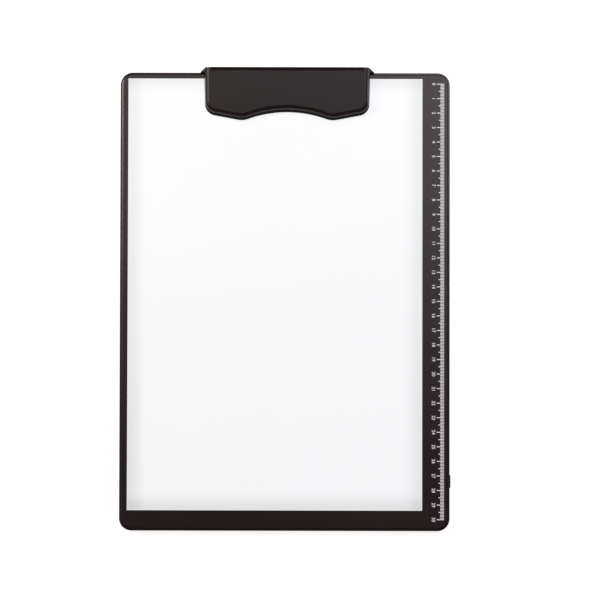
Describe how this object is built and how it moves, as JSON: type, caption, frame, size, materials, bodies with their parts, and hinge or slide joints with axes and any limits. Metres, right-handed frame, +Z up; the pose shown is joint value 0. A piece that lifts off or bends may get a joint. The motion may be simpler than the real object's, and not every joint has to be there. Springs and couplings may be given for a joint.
{
  "type": "light box",
  "caption": "Slim flat light box with a lit writing panel in a black frame, a printed scale along one side and a wide sprung paper clip at one end.",
  "frame": {"origin": "centre of the board's outline, on the surface that the feet rest on", "axes": "+X towards the side with the scale, +Y towards the clip, +Z up out of the writing face"},
  "size_m": [0.2283, 0.3184, 0.0207],
  "materials": {
    "housing_black": "satin",
    "clip_black": "satin",
    "button_black": "satin",
    "panel_white": "satin",
    "diffuser_white": "matte",
    "guide_clear": "gloss",
    "reflector_white": "matte",
    "foot_rubber": "matte",
    "grip_rubber": "matte",
    "painted_steel": "satin",
    "pin_steel": "satin",
    "spring_steel": "satin",
    "screw_steel": "satin",
    "circuit_green": "satin",
    "led_package": "gloss",
    "carrier_aluminium": "satin",
    "component_black": "satin",
    "socket_metal": "satin",
    "pipe_clear": "gloss",
    "plunger_white": "satin",
    "cell_wrap": "satin",
    "tape_white": "matte",
    "wire_red": "satin"
  },
  "bodies": {
    "board": {"back_cover": "housing_black", "battery_cell": "cell_wrap", "battery_leads": "wire_red", "battery_tape": "tape_white", "board_components": "component_black", "bracket_screws": "screw_steel", "charge_light_pipe": "pipe_clear", "clip_bracket": "painted_steel", "clip_spring_left": "spring_steel", "clip_spring_right": "spring_steel", "control_board": "circuit_green", "diffuser_sheet": "diffuser_white", "foot_bottom_left": "foot_rubber", "foot_bottom_right": "foot_rubber", "foot_top_left": "foot_rubber", "foot_top_right": "foot_rubber", "front_bezel": "housing_black", "hinge_pin": "pin_steel", "housing_screws": "screw_steel", "led_strip_board": "circuit_green", "light_guide": "guide_clear", "reflector_sheet": "reflector_white", "side_switch": "component_black", "strip_carrier": "carrier_aluminium", "strip_leads": "wire_red", "strip_leds": "led_package", "usb_socket": "socket_metal", "writing_panel": "panel_white"},
    "clip": {"clip_cover": "clip_black", "clip_plate": "painted_steel", "jaw_grip": "grip_rubber"},
    "button": {"power_button": "button_black", "switch_plunger": "plunger_white"}
  },
  "joints": [
    {"name": "clip_hinge", "type": "hinge", "parent": "board", "child": "clip", "pos_m": [0.0014, 0.15685, 0.0162], "axis": [-1, 0, 0], "range_deg": [0, 55], "stiffness_Nm_per_rad": 0.08, "springref_deg": -57.3, "deforming": ["clip_spring_left", "clip_spring_right"]},
    {"name": "power_press", "type": "slide", "parent": "board", "child": "button", "axis": [-1, 0, 0], "range_m": [0, 0.0006], "stiffness_N_per_m": 700, "springref_m": -0.0015}
  ]
}
